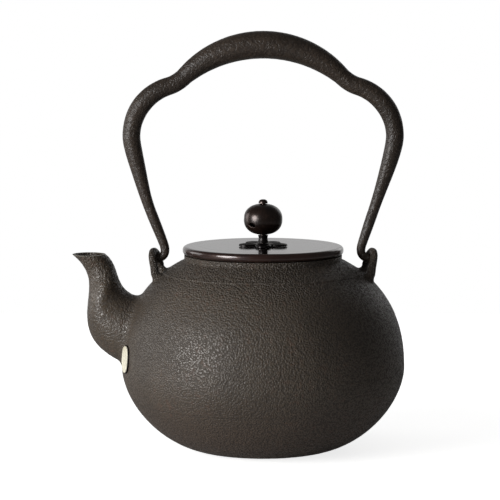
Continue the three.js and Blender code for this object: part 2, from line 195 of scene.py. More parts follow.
def settle(piece):
    """Turns the piece's modifiers into plain mesh."""
    bpy.context.view_layer.update()
    graph = bpy.context.evaluated_depsgraph_get()
    mesh = bpy.data.meshes.new_from_object(piece.evaluated_get(graph), depsgraph=graph)
    piece.modifiers.clear()
    piece.data = mesh
    return piece


def cut(piece, cutter):
    """Cuts the cutter out of the piece and removes the cutter."""
    parting = piece.modifiers.new("cut", "BOOLEAN")
    parting.operation, parting.solver, parting.object = "DIFFERENCE", "MANIFOLD", cutter
    settle(piece)
    bpy.data.objects.remove(cutter)


def rounded_shading(piece, corner):
    """Shades the piece smooth, with sharp edges where it turns by more than the corner's degrees."""
    mesh = piece.data
    mesh.polygons.foreach_set("use_smooth", np.ones(len(mesh.polygons), bool))
    mesh.set_sharp_from_angle(angle=math.radians(corner))
    mesh.update()


def bezier(ends, travel):
    """The point at a travel from 0 to 1 along a cubic curve."""
    a, b, c, d = (np.array(p, float) for p in ends)
    left = 1 - travel
    return left**3 * a + 3 * left**2 * travel * b + 3 * left * travel**2 * c + travel**3 * d


def along_line(line, count):
    """Points spaced evenly along a polyline, with its directions there."""
    line = np.asarray(line, float)
    steps = np.linalg.norm(np.diff(line, axis=0), axis=1)
    length = np.concatenate([[0], np.cumsum(steps)])
    at = np.linspace(0, length[-1], count + 1)
    points = np.column_stack([np.interp(at, length, line[:, k]) for k in range(line.shape[1])])
    way = np.gradient(points, axis=0)
    return points, way / np.linalg.norm(way, axis=1)[:, None]


def turned(x, y, angle):
    """x and y turned round their origin."""
    return x * math.cos(angle) - y * math.sin(angle), x * math.sin(angle) + y * math.cos(angle)


def spout_solid(walls, overrun, steps=44, sides=48):
    """The spout, lofted in ellipses between its outer and inner lines and run on past the lip."""
    pouch = np.array(spout_pouch, float)
    rise = np.array([0, spout_pouch_pull])
    heel = (spout_heel, spout_heel_pull, pouch - (0, spout_belly_pull), pouch)
    outer = (pouch, pouch + rise, spout_neck_pull, (spout_lip_outer, spout_lip_height))
    inner = (spout_throat, spout_throat_pull, spout_lip_pull, (spout_lip_inner, spout_lip_height))
    turn = evenly(sides)[:-1] * 2 * math.pi
    rings = []
    for travel in evenly(steps):
        front = bezier(heel, travel * 2) if travel < 0.5 else bezier(outer, travel * 2 - 1)
        back = bezier(inner, travel)
        wall = eased(walls, travel)
        middle, reach = (front + back) / 2, (front - back) / 2
        reach *= 1 - wall / np.linalg.norm(reach)
        half_width = eased(spout_widths, travel) / 2 - wall
        across, beside = np.cos(turn), np.sin(turn)
        out, height = middle[0] + reach[0] * across, middle[1] + reach[1] * across
        rings.append(np.column_stack([-out, -half_width * beside, height]))
    rings.append(rings[-1] + np.array([0, 0, overrun]))
    return skinned(rings)


def ear_solid(side, steps=64, sides=24):
    """An ear: a bar bent over in an arch, leaning out and splayed forward, on side 1 (+X) or -1 (-X)."""
    foot = -(ear_hinge_rise + ear_foot_depth)
    low_pull, high_pull = (ear_foot_half_span, foot / 2), (ear_half_span, foot / 3)
    leg = ((ear_foot_half_span, foot), low_pull, high_pull, (ear_half_span, 0))
    down = np.array([bezier(leg, t) for t in evenly(30)])
    turn = math.pi - evenly(40)[1:-1] * math.pi
    arch = np.column_stack([ear_half_span * np.cos(turn), ear_top_rise * np.sin(turn)])
    line = np.vstack([down * (-1, 1), arch, down[::-1]])
    points, way = along_line(line, steps)
    turn = evenly(sides)[:-1] * 2 * math.pi
    rings = []
    for (back, rise), (along_back, along_up) in zip(points, way):
        share = (rise - ear_top_rise) / (foot - ear_top_rise)
        bar = (ear_bar + (ear_foot_bar - ear_bar) * math.sqrt(max(share, 0))) / 2
        x = ear_bar_depth * bar * np.sin(turn)
        x = np.where(x < 0, x * ear_inner_share, x)
        y = back - along_up * bar * np.cos(turn)
        z = rise + along_back * bar * np.cos(turn)
        x, y = turned(x + z * math.tan(ear_lean), y, ear_splay)
        rings.append(np.column_stack([side * (x + ear_offset), y, z + hinge_height]))
    return skinned(rings)


neck_foot = body_side(neck_radius + neck_fillet, 0, 60)
neck_turn = -quarter - evenly(8)[1:] * quarter
neck_sweep = np.column_stack(
    [
        neck_radius + neck_fillet + neck_fillet * np.cos(neck_turn),
        neck_foot[-1, 1] + neck_fillet + neck_fillet * np.sin(neck_turn),
    ]
)
neck_top = rim_height + cut_overrun
outline = np.vstack([[(0, 0)], neck_foot, neck_sweep, [(neck_radius, neck_top), (0, neck_top)]])
limbs = joined([spout_solid([(0, 0), (1, 0)], cut_overrun), ear_solid(1), ear_solid(-1)])
casting = made_object("kettle_casting", joined([revolved(outline, 160), limbs]))
fused = casting.modifiers.new("fused", "REMESH")
fused.mode, fused.voxel_size = "VOXEL", skin_spacing / 1000
settle(casting)


def off_body(points):
    """How far points stand off the body's outline, with the outline's outward direction there."""
    radius = np.hypot(points[:, 0], points[:, 1])
    flat = np.column_stack([radius, points[:, 2]])
    steps = np.diff(outline, axis=0)
    best = np.full(len(flat), 1e9)
    way = np.zeros((len(flat), 2))
    for origin, step, reach in zip(outline, steps, np.linalg.norm(steps, axis=1)):
        along = step / reach
        offset = flat - origin
        share = np.clip(offset @ along, 0, reach)
        gap = offset - share[:, None] * along
        distance = np.linalg.norm(gap, axis=1)
        nearer = distance < np.abs(best)
        right = np.array([along[1], -along[0]])
        sign = np.where(gap @ right < 0, -1.0, 1.0)
        best[nearer] = (distance * sign)[nearer]
        way[nearer] = right
    round_way = points[:, :2] / np.maximum(radius, 1e-6)[:, None]
    return best, np.column_stack([way[:, :1] * round_way, way[:, 1]])


def on_limbs(points):
    """The nearest places to points on the exact skin of the spout and ears."""
    skin = bvhtree.BVHTree.FromPolygons(limbs[0].tolist(), limbs[1])
    return np.array([skin.find_nearest(point)[0] for point in points])


def read_points(mesh):
    """The mesh's points in millimetres."""
    points = np.empty(len(mesh.vertices) * 3)
    mesh.vertices.foreach_get("co", points)
    return points.reshape(-1, 3) * 1000


def write_points(mesh, points):
    """Moves the mesh's points to places in millimetres."""
    mesh.vertices.foreach_set("co", (points / 1000).ravel())
    mesh.update()


def neighbour_mean(edges, values):
    """The mean of each point's neighbours."""
    count = np.bincount(edges.ravel(), minlength=len(values))
    total = np.zeros_like(values)
    for one, other in ((0, 1), (1, 0)):
        for k in range(values.shape[1]):
            total[:, k] += np.bincount(edges[:, one], values[edges[:, other], k], len(values))
    return total / np.maximum(count, 1)[:, None]


points = read_points(casting.data)
edges = np.empty(len(casting.data.edges) * 2, int)
casting.data.edges.foreach_get("vertices", edges)
edges = edges.reshape(-1, 2)
gap, way = off_body(points)
on_body = np.abs(gap) < body_margin
seam_edges = edges[on_body[edges[:, 0]] != on_body[edges[:, 1]]]
seam_points = points[np.unique(seam_edges)]
seam_points = seam_points[seam_points[:, 2] < rim_height - rim_clear]
tree = kdtree.KDTree(len(seam_points))
for i, point in enumerate(seam_points):
    tree.insert(point, i)
tree.balance()
near = np.array([tree.find(point)[2] for point in points])
fillet = np.where(points[:, 0] < spout_limit, spout_fillet, ear_fillet)
blend = 1 - smooth(near, blend_core * fillet, fillet)
for _ in range(blend_passes):
    points += (blend * blend_step)[:, None] * (neighbour_mean(edges, points) - points)
gap, way = off_body(points)
press = smooth(near, press_start * fillet, press_end * fillet)
points -= (gap * press * on_body)[:, None] * way
limb = ~on_body
points[limb] += press[limb, None] * (on_limbs(points[limb]) - points[limb])
write_points(casting.data, points)

grain = np.random.default_rng(grain_seed).normal(size=(len(points), 1))
grain = -np.abs(own_grain * grain + shared_grain * neighbour_mean(edges, grain))
normals = np.empty(len(points) * 3)
casting.data.vertex_normals.foreach_get("vector", normals)
pit_depth = belly_pits + shoulder_pits * smooth(points[:, 2], *pit_rise)
pit_depth *= np.where(limb & (points[:, 0] > spout_limit), ear_pits, 1.0) * skin_spacing / pit_spacing
clear_of_cuts = smooth(np.abs(points[:, 2] - rim_height), rim_clear, pits_full)
points += grain * (pit_depth * clear_of_cuts)[:, None] * normals.reshape(-1, 3)
points[:, 2] = np.maximum(points[:, 2], 0)
write_points(casting.data, points)

hollow_side = body_side(mouth_radius, -body_wall, 40)
hollow_side = hollow_side[(hollow_side[:, 1] < belly_height) | (hollow_side[:, 0] > mouth_radius)]
hollow_top = rim_height + 2 * cut_overrun
mouth_foot = (mouth_radius, shoulder_height(mouth_radius) - body_wall)
hollow_neck = [mouth_foot, (mouth_radius, hollow_top), (0, hollow_top)]
hollow = np.vstack([[(0, body_wall)], hollow_side, hollow_neck])


def drum(radius, foot, top):
    """The profile of a plain drum that cuts off what stands above its foot."""
    return [(0, foot), (radius, foot), (radius, top), (0, top)]


lip_points, lip_faces = revolved(drum(lip_drum_radius, 0, lip_drum_height), 24)
lip_middle = -(spout_lip_inner + spout_lip_outer) / 2
lip_points = lip_points + (lip_middle, 0, spout_lip_height)
for name, solid in (
    ("hollow", revolved(hollow, 128)),
    ("rim", revolved(drum(rim_drum_radius, rim_height, hollow_top + 1), 96)),
    ("bore", spout_solid(spout_walls, 2 * cut_overrun)),
    ("lip", (lip_points, lip_faces)),
):
    cut(casting, made_object(name, solid))
rounded_shading(casting, corner=40)


class Wire:
    """A number that varies over a surface, for sums written as plain expressions."""

    def __init__(self, socket):
        self.socket = socket

    def calculated(self, operation, *values):
        """The result of a maths node on numbers and wires."""
        node = self.socket.id_data.nodes.new("ShaderNodeMath")
        node.operation = operation
        for slot, value in zip(node.inputs, values):
            feed(slot, value)
        return Wire(node.outputs[0])

    def __add__(self, other):
        return self.calculated("ADD", self, other)

    def __sub__(self, other):
        return self.calculated("SUBTRACT", self, other)

    def __rsub__(self, other):
        return self.calculated("SUBTRACT", other, self)

    def __mul__(self, other):
        return self.calculated("MULTIPLY", self, other)

    def __truediv__(self, other):
        return self.calculated("DIVIDE", self, other)

    def __rtruediv__(self, other):
        return self.calculated("DIVIDE", other, self)

    def __abs__(self):
        return self.calculated("ABSOLUTE", self)

    __radd__ = __add__
    __rmul__ = __mul__


def feed(slot, value):
    """Sets a socket to a constant, or links a wire to it."""
    if isinstance(value, Wire):
        slot.id_data.links.new(value.socket, slot)
    else:
        slot.default_value = value


class Graph:
    """A tree of shader or geometry nodes."""

    def __init__(self, tree):
        self.tree = tree
        tree.nodes.clear()

    def node(self, kind, settings=None, inputs=None):
        """Makes a node from its type, settings and sockets' values, and gives its outputs by name."""
        made = self.tree.nodes.new(kind)
        for key, value in (settings or {}).items():
            setattr(made, key, value)
        for key, value in (inputs or {}).items():
            feed(made.inputs[key], value)
        return {socket.name: Wire(socket) for socket in made.outputs if socket.enabled}

    def vector(self, **parts):
        """A vector of its X, Y and Z, each 0 where it isn't given."""
        return self.node("ShaderNodeCombineXYZ", {}, parts)["Vector"]

    def parts(self, vector):
        """The X, Y and Z of a vector by name."""
        return self.node("ShaderNodeSeparateXYZ", {}, {"Vector": vector})

    def between(self, value, low, high):
        """0 below low and 1 above high, with a soft step."""
        values = {"Value": value, "From Min": low, "From Max": high}
        return self.node("ShaderNodeMapRange", {"interpolation_type": "SMOOTHSTEP"}, values)["Result"]


class Finish(Graph):
    """The nodes of one material."""

    def __init__(self, name):
        self.material = bpy.data.materials.new(name)
        self.material.use_nodes = True
        super().__init__(self.material.node_tree)
        self.place = self.node("ShaderNodeTexCoord")["Object"]

    def noise(self, size, detail=2.0, roughness=0.5, place=None, swirl=0.0):
        """Cloudy noise whose lumps are about size metres across, drawn out by swirl."""
        values = {"Vector": place or self.place, "Scale": 0.5 / size, "Detail": detail}
        values.update({"Roughness": roughness, "Distortion": swirl})
        return self.node("ShaderNodeTexNoise", {}, values)["Fac"]

    def cells(self, size):
        """0 in the middle of each round grain of about that size, rising to its edge."""
        values = {"Vector": self.place, "Scale": 1 / size}
        return self.node("ShaderNodeTexVoronoi", {"feature": "F1"}, values)["Distance"]

    def mixed(self, first, second, share):
        """The first colour giving way to the second by a share."""
        values = {0: share, 6: first, 7: second}
        return self.node("ShaderNodeMix", {"data_type": "RGBA"}, values)["Result"]

    def along(self, axis):
        """The place on the piece along X, Y or Z, in metres."""
        return self.parts(self.place)[axis]

    def finished(self, values, height=None, depth=0.0):
        """Ends the material in one Principled shader, with a bump of that depth in metres."""
        if height is not None:
            bump = {"Height": height, "Distance": depth, "Strength": 1.0}
            values["Normal"] = self.node("ShaderNodeBump", {}, bump)["Normal"]
        shader = self.node("ShaderNodeBsdfPrincipled", {}, values)["BSDF"]
        self.node("ShaderNodeOutputMaterial", {}, {"Surface": shader})
        return self.material


def shade(red, green, blue):
    """A colour written as on screen, 0 to 255, as a shader takes it."""
    shares = [level / 255 for level in (red, green, blue)]
    linear = [((share + 0.055) / 1.055) ** 2.4 if share > 0.04 else share / 12.92 for share in shares]
    return (*linear, 1.0)


def cast_skin():
    """Dark lacquer on sand grain, coarser at the shoulder, wrinkled on the spout, with painted shade in
    its creases and its lip's top worn bare and given a painted sheen.
    """
    foot, shoulder, lip, spout_side = (0.005, 0.05), (0.092, 0.106), (0.1149, 0.1152), (0.08, 0.09)
    seam_rise, seam_wander, seam_width = 0.0298, 0.0009, (0.0001, 0.0008)
    finish = Finish("sand_cast_iron")
    z, on_spout = finish.along("Z"), finish.between(0 - finish.along("X"), *spout_side)
    patches = finish.noise(0.026, 3)
    grit = finish.noise(0.0006, 2, 0.6)
    grains = 1 - finish.between(finish.cells(0.0011), 0.3, 0.75)
    wrinkles = finish.between(finish.noise(0.00075, 1, swirl=0.2), 0.34, 0.62)
    lumps = grains + (wrinkles - grains) * on_spout
    bare = finish.between(finish.noise(0.0007, 1), 0.6, 0.72) * lumps
    rust = finish.between(finish.noise(0.0016, 2), 0.56, 0.7) * finish.between(patches, 0.4, 0.62)
    colour = finish.mixed(shade(65, 56, 46), shade(78, 68, 57), finish.between(patches, 0.35, 0.65))
    colour = finish.mixed(shade(78, 64, 53), colour, finish.between(z, *foot))
    # Painted shade: the creases between the grains and the spout's wrinkles are darkened as if shade fell
    # in them.
    colour = finish.mixed(colour, shade(34, 28, 24), (1 - lumps) * (0.5 - on_spout * 0.15))
    colour = finish.mixed(colour, shade(110, 101, 90), bare * 0.25)
    colour = finish.mixed(colour, shade(92, 63, 46), rust * 0.3)
    seam_height = seam_rise + finish.noise(0.012, 2) * seam_wander
    seam = 1 - finish.between(abs(z - seam_height), *seam_width)
    seam = seam * finish.between(finish.noise(0.008, 2), 0.36, 0.6)
    colour = finish.mixed(colour, shade(38, 32, 28), seam * 0.3)
    # Painted sheen: the flat top of the spout's lip is worn bare and also painted light, as if lit from
    # above.
    colour = finish.mixed(colour, shade(128, 124, 112), finish.between(z, *lip) * on_spout)
    roughness = 0.335 + (grit - 0.5) * 0.2 - bare * 0.08 + (1 - lumps) * 0.4 - on_spout * 0.05
    coarser = 0.8 + finish.between(z, *shoulder) * 1.2
    height = (lumps * (0.75 - on_spout * 0.25) + grit * 0.8) * coarser - seam * 0.25
    values = {"Base Color": colour, "Roughness": roughness, "Specular IOR Level": 0.66, "Metallic": 0.0}
    return finish.finished(values, height, 0.00034)


casting_finish = cast_skin()
casting.data.materials.clear()
casting.data.materials.append(casting_finish)
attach(casting, "kettle")
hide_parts("kettle_body", "spout", "rear_ear", "spout_side_ear")


# Shoulder line: a fine raised line scratched into the mould by the turning board, so it stands out of the
# casting all round the shoulder. It is iron of the same pour and skin.
line_radius, line_bead, line_sunk = 58.0, 0.95, 0.76
line_wear, wear_scale = 0.0002, 190.0  # the wear in metres, and the scale of its noise


def grown(name, base, group, values):
    """Grows geometry nodes with the named values on a base object, and leaves a plain mesh."""
    modifier = base.modifiers.new("grown", "NODES")
    modifier.node_group = group
    for item in group.interface.items_tree:
        if item.in_out == "INPUT" and item.name in values:
            modifier[item.identifier] = values[item.name]
    base.name = name
    return settle(base)


class Growth(Graph):
    """The nodes of one Geometry Nodes tree, from its named inputs to its geometry."""

    def __init__(self, name, **inputs):
        tree = bpy.data.node_groups.new(name, "GeometryNodeTree")
        tree.interface.new_socket("Geometry", in_out="INPUT", socket_type="NodeSocketGeometry")
        tree.interface.new_socket("Geometry", in_out="OUTPUT", socket_type="NodeSocketGeometry")
        for key, kind in inputs.items():
            tree.interface.new_socket(key, in_out="INPUT", socket_type="NodeSocket" + kind)
        super().__init__(tree)
        self.given = self.node("NodeGroupInput")

    def circle(self, sides, radius):
        """A round curve flat on the ground."""
        values = {"Resolution": sides, "Radius": radius}
        return self.node("GeometryNodeCurvePrimitiveCircle", {}, values)["Curve"]

    def along_normals(self, distance):
        """That distance straight out of the surface, as a vector."""
        values = {0: self.node("GeometryNodeInputNormal")["Normal"], "Scale": distance}
        return self.node("ShaderNodeVectorMath", {"operation": "SCALE"}, values)["Vector"]

    def moved(self, geometry, **place):
        """The geometry moved by an Offset or to a Position."""
        return self.node("GeometryNodeSetPosition", {}, {"Geometry": geometry, **place})["Geometry"]

    def ended(self, geometry, material):
        """Ends the tree in real geometry that wears the material."""
        real = self.node("GeometryNodeRealizeInstances", {}, {"Geometry": geometry})["Geometry"]
        values = {"Geometry": real, "Material": material}
        coated = self.node("GeometryNodeSetMaterial", {}, values)["Geometry"]
        self.node("NodeGroupOutput", {}, {0: coated})
        return self.tree


def shoulder_line_tree():
    """A bead swept round the kettle, with its skin worn a little uneven."""
    growth = Growth("shoulder_line", Radius="Float", Bead="Float", Height="Float")
    path, bead = growth.circle(360, growth.given["Radius"]), growth.circle(12, growth.given["Bead"])
    line = growth.node("GeometryNodeCurveToMesh", {}, {"Curve": path, "Profile Curve": bead})["Mesh"]
    values = {"Scale": wear_scale, "Detail": 2.0}
    wear = growth.node("ShaderNodeTexNoise", {"normalize": False}, values)["Fac"]
    lift, worn = growth.vector(Z=growth.given["Height"]), growth.along_normals(wear * line_wear)
    drift = growth.node("ShaderNodeVectorMath", {"operation": "ADD"}, {0: lift, 1: worn})["Vector"]
    return growth.ended(growth.moved(line, Offset=drift), casting_finish)


shoulder_line = grown(
    "shoulder_line",
    made_object("shoulder_line", (np.zeros((1, 3)), [])),
    shoulder_line_tree(),
    {
        "Radius": line_radius / 1000,
        "Bead": line_bead / 1000,
        "Height": (shoulder_height(line_radius) - line_sunk) / 1000,
    },
)
rounded_shading(shoulder_line, corner=180)
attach(shoulder_line, "kettle")


# Bail handle: one iron forging, swollen at the crown where it is held, waisted and turned over at the
# shoulders, with thin legs whose hooked ends pass out through the ears. Fine hammering dots its skin.
bail_rise, crown_radius, crown_sweep, bend_pull = 125.56, 66.4, math.radians(43.6), 4.0
bail_half_width, side_rise, shoulder_radius, shoulder_sweep = 77.0, 72.2, 30.5, math.radians(73)
leg_bend_pull, leg_straight_pull, leg_lean = 9.0, 30.0, math.radians(18.3)
leg_setback, leg_end_rise, hook_pull, hook_dip = 4.6, 9.2, 5.4, math.radians(12)
crown_thickness, crown_depth, waist_thickness, shoulder_thickness = 16.1, 18.0, 10.3, 11.1
side_thickness, leg_thickness, leg_taper_end, hook_thickness = 10.4, 6.2, 0.72, 4.8
rear_tip_reach, spout_side_tip_reach = 0.8, 2.2  # of the hooks beyond the middles of the ears
leg_bow, bow_rise, bow_span = 1.4, 33, 18  # of the spout-side leg, which the smith left less straight
tip_round = 0.9  # how far the hooks' rounded ends reach, as a share of their radius
tip_angles = (18, 36, 52, 66, 78, 86)  # degrees round each end at which it has a ring
dot_size, dot_depth, dot_middle = 0.0017, 0.0001, 0.45  # in metres; the middle keeps the bar's thickness


def bend(angle):
    """The direction at an angle up from X."""
    return np.array([math.cos(angle), math.sin(angle)])


def bail_half_line(tip_reach):
    """The bail's centreline from crown to hook, and the travel at which each of its curves ends."""
    crown = np.array([0, bail_rise - crown_radius])
    shoulder = np.array([bail_half_width - shoulder_radius, side_rise])
    crown_angle = quarter - crown_sweep
    crown_end = crown + crown_radius * bend(crown_angle)
    shoulder_start = shoulder + shoulder_radius * bend(shoulder_sweep)
    leg_up = bend(quarter - leg_lean)
    leg_end = np.array([ear_offset - leg_setback, leg_end_rise])
    hook, hook_out = np.array([ear_offset, 0.0]), bend(-hook_dip)
    curves = [
        [crown + crown_radius * bend(quarter - crown_sweep * t) for t in evenly(120)],
        [
            bezier(
                (
                    crown_end,
                    crown_end + bend_pull * bend(crown_angle - quarter),
                    shoulder_start + bend_pull * bend(shoulder_sweep + quarter),
                    shoulder_start,
                ),
                t,
            )
            for t in evenly(40)
        ],
        [shoulder + shoulder_radius * bend(shoulder_sweep * (1 - t)) for t in evenly(120)],
        [
            bezier(
                (
                    (bail_half_width, side_rise),
                    (bail_half_width, side_rise - leg_bend_pull),
                    leg_end + leg_straight_pull * leg_up,
                    leg_end,
                ),
                t,
            )
            for t in evenly(160)
        ],
        [
            bezier((leg_end, leg_end - hook_pull * leg_up, hook - hook_pull * hook_out, hook), t)
            for t in evenly(60)
        ],
        [hook, hook + tip_reach * hook_out],
    ]
    lengths = [np.linalg.norm(np.diff(np.array(c), axis=0), axis=1).sum() for c in curves]
    line = np.vstack([curves[0]] + [c[1:] for c in curves[1:]])
    return line, np.cumsum(lengths) / sum(lengths)


def bail_half(tip_reach):
    """Rows of x, z, thickness, and depth as a share of thickness, from crown to tip."""
    line, ends = bail_half_line(tip_reach)
    crown_end, shoulder_start, shoulder_end, leg_end = ends[:4]
    stops = [
        (crown_end, waist_thickness),
        ((shoulder_start + shoulder_end) / 2, shoulder_thickness),
        (shoulder_end, side_thickness),
        (shoulder_end + (leg_end - shoulder_end) * leg_taper_end, leg_thickness),
        (1, hook_thickness),
    ]

    def size(middle, share):
        """The thickness or depth at a share of the way, from that at the crown's middle."""
        if share < crown_end:
            return middle + (waist_thickness - middle) * (share / crown_end) ** 2
        return eased(stops, share)

    points, way = along_line(line, 360)
    shares = evenly(len(points) - 1)
    thick = np.array([size(crown_thickness, s) for s in shares])
    deep = np.array([size(crown_depth, s) for s in shares])
    end_round = tip_round * thick[-1] / 2
    for angle in np.radians(tip_angles):
        tip = points[len(shares) - 1] + way[-1] * end_round * math.sin(angle)
        points = np.vstack([points, tip])
        thick = np.append(thick, hook_thickness * math.cos(angle))
        deep = np.append(deep, hook_thickness * math.cos(angle))
    return np.column_stack([points, thick, deep / thick])


def bail_tree(finish):
    """Grows a bar on the centreline, as thick and deep as its points say, and dots its skin."""
    growth = Growth("bail", Dot_Size="Float", Dot_Depth="Float")

    def stored(name):
        values = {"Name": name}
        return growth.node("GeometryNodeInputNamedAttribute", {"data_type": "FLOAT"}, values)["Attribute"]

    curve = growth.node("GeometryNodeMeshToCurve", {}, {"Mesh": growth.given["Geometry"]})["Curve"]
    ring = growth.circle(64, 1.0)
    values = {"Curve": curve, "Profile Curve": ring, "Scale": stored("thick"), "Fill Caps": True}
    bar = growth.node("GeometryNodeCurveToMesh", {}, values)["Mesh"]
    place = growth.parts(growth.node("GeometryNodeInputPosition")["Position"])
    wide = growth.vector(X=place["X"], Y=place["Y"] * stored("deep"), Z=place["Z"])
    shaped = growth.moved(bar, Position=wide)
    values = {"Scale": 1 / growth.given["Dot_Size"], "Smoothness": 0.5}
    dots = growth.node("ShaderNodeTexVoronoi", {"feature": "SMOOTH_F1"}, values)["Distance"]
    push = growth.along_normals((dots - dot_middle) * growth.given["Dot_Depth"])
    return growth.ended(growth.moved(shaped, Offset=push), finish)


def forged_skin():
    """Nearly black iron dotted by the hammer, with painted shade between the dots and the ends of the
    hooks worn bright and given a painted highlight.
    """
    hook_reach, hook_rise = (0.0645, 0.066), (0.112, 0.118)
    finish = Finish("hammered_iron")
    patches = finish.noise(0.02, 3)
    grit = finish.noise(0.0008, 2, 0.6)
    swirls = finish.noise(0.0012, 1, swirl=0.4)
    dots = finish.between(abs(swirls - 0.5), 0.0, 0.14)  # 0 along the creases between the dots
    colour = finish.mixed(shade(50, 42, 35), shade(63, 53, 45), finish.between(patches, 0.35, 0.65))
    # Painted shade: the creases between the hammer dots are darkened as if shade fell in them.
    colour = finish.mixed(colour, shade(28, 23, 20), (1 - dots) * 0.45)
    colour = finish.mixed(colour, shade(112, 101, 88), finish.between(grit, 0.6, 0.76) * dots * 0.15)
    # The hooks' ends are worn bare, and their light colour is also a painted highlight.
    low = 1 - finish.between(finish.along("Z"), *hook_rise)
    hook_wear_and_highlight = finish.between(abs(finish.along("X")), *hook_reach) * low
    colour = finish.mixed(colour, shade(168, 164, 156), hook_wear_and_highlight * 0.9)
    roughness = 0.43 + (grit - 0.5) * 0.2
    height = dots * 0.7 + grit * 0.3
    values = {"Base Color": colour, "Roughness": roughness, "Specular IOR Level": 0.45, "Metallic": 0.0}
    return finish.finished(values, height, 0.00022)


rear_half, spout_half = bail_half(rear_tip_reach), bail_half(spout_side_tip_reach)
spout_half[:, 0] += leg_bow * np.exp(-(((spout_half[:, 1] - bow_rise) / bow_span) ** 2))
stations = np.vstack([spout_half[::-1][:-1] * (-1, 1, 1, 1), rear_half])
bail_points = np.column_stack([stations[:, 0], np.zeros(len(stations)), stations[:, 1] + hinge_height])
bail_edges = [(i, i + 1) for i in range(len(stations) - 1)]
bail_line = made_object("bail_forging", (bail_points, []), bail_edges)
# The bar's ring has a radius of 1, so "thick" is half the thickness in metres.
for name, values in (("thick", stations[:, 2] / 2000), ("deep", stations[:, 3])):
    stored = bail_line.data.attributes.new(name, "FLOAT", "POINT")
    stored.data.foreach_set("value", values.astype(np.float32))
dots = {"Dot_Size": dot_size, "Dot_Depth": dot_depth}
bail = grown("bail_forging", bail_line, bail_tree(forged_skin()), dots)
rounded_shading(bail, corner=180)
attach(bail, "bail")
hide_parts("bail_handle")


# Lid: a flat bronze casting turned on a lathe, with a rounded edge and a flange that drops into the
# mouth. Its top is polished to a mirror under a dark purple-brown patina.
lid_overhang, lid_edge_height, lid_edge_round, lid_plate = 0.9, 4.9, 2.1, 3.4
flange_clearance, flange_wall, flange_depth, seat_gap = 0.8, 2.2, 7.0, 0.3
flange_fillet, flange_chamfer, seat_chamfer = 1.2, 0.4, 0.3
groove_radius, groove_width, groove_depth = 38, 1.2, 0.05
pin_hole, hole_chamfer, hole_drop = 1.85, 0.4, 0.2
lid_underside = rim_height + seat_gap
lid_top = lid_underside + lid_edge_height
plate_underside = lid_top - lid_plate
lid_edge = neck_radius + lid_overhang - lid_edge_round  # where the flat top starts to round over


def arc(middle, across, up, start, end, count):
    """Points on part of an ellipse, by its half sizes across and up."""
    turn = start + (end - start) * evenly(count)
    return [(middle[0] + across * math.cos(a), middle[1] + up * math.sin(a)) for a in turn]


def polished_bronze():
    """Mirror-bright bronze with faint lathe lines and smears, and a thicker patina on its edge."""
    finish = Finish("polished_dark_bronze")
    values = {0: finish.place, 1: (1, 1, 0)}
    flat = finish.node("ShaderNodeVectorMath", {"operation": "MULTIPLY"}, values)["Vector"]
    radius = finish.node("ShaderNodeVectorMath", {"operation": "LENGTH"}, {0: flat})["Value"]
    lines = finish.noise(0.0005, 2, 0.6, finish.vector(X=radius))
    clouds = finish.noise(0.012, 3)
    smears = finish.noise(0.004, 2, 0.6)
    colour = finish.mixed(shade(50, 32, 27), shade(64, 42, 35), finish.between(clouds, 0.35, 0.7))
    colour = finish.mixed(colour, shade(38, 28, 33), finish.between(smears, 0.55, 0.75) * 0.5)
    rounded = finish.between(radius, (lid_edge - 0.5) / 1000, lid_edge / 1000)
    roughness = 0.08 + lines * 0.04 + clouds * 0.05 + rounded * 0.2
    values = {"Base Color": colour, "Roughness": roughness, "Metallic": 0.9 - rounded * 0.45}
    values.update({"Coat Weight": 0.5 + rounded * 0.5, "Coat Roughness": 0.1})
    return finish.finished(values, lines, 0.000004)


def lid_surface(radius):
    """The height of the top, which is flat but for one faint groove."""
    return lid_top - groove_depth * math.exp(-(((radius - groove_radius) / groove_width) ** 2))


flange_outer = mouth_radius - flange_clearance
flange_inner = flange_outer - flange_wall
flange_foot = lid_underside - flange_depth
fillet_middle = (flange_inner - flange_fillet, plate_underside - flange_fillet)
lid_profile = [
    (pin_hole, plate_underside),
    *arc(fillet_middle, flange_fillet, flange_fillet, quarter, 0, 5),
    (flange_inner, flange_foot + flange_chamfer),
    (flange_inner + flange_chamfer, flange_foot),
    (flange_outer - flange_chamfer, flange_foot),
    (flange_outer, flange_foot + flange_chamfer),
    (flange_outer, lid_underside - seat_chamfer),
    (flange_outer + seat_chamfer, lid_underside),
    *arc((lid_edge, lid_underside + lid_edge_round), lid_edge_round, lid_edge_round, -quarter, 0, 12),
    *arc((lid_edge, lid_top - lid_edge_round), lid_edge_round, lid_edge_round, 0, quarter, 12),
    *[(r, lid_surface(r)) for r in np.linspace(lid_edge - 1, pin_hole + hole_chamfer, 44)],
    (pin_hole, lid_top - hole_drop),
    (pin_hole, plate_underside),
]
lid = made_object("lid_turning", revolved(lid_profile, 192))
rounded_shading(lid, corner=38)
bronze_finish = polished_bronze()
lid.data.materials.append(bronze_finish)
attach(lid, "lid")
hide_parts("lid")


# Flower seat: a small bronze washer chased as five petals, patinated nearly black, that spreads the
# knob's load on the lid. The pin runs down through its middle.
petal_count, petal_reach, petal_length, petal_width, petal_height = 5, 14.8, 12.0, 9.6, 1.3
# A petal's rings run from its edge up and into its dish, as (share of the way out, height).
petal_rim = [(1.0, 0.0), (1.0, 0.5), (0.97, 0.9), (0.9, 1.18), (0.8, 1.28)]
petal_dish = [(0.66, 1.12), (0.5, 0.86), (0.32, 0.7), (0.14, 0.66)]
notch_depth, notch_width = 0.07, 0.2  # in the tip, as a share of the petal and in radians
boss_radius, boss_edge = 6.4, 0.5
seat_foot = lid_top + seat_gap


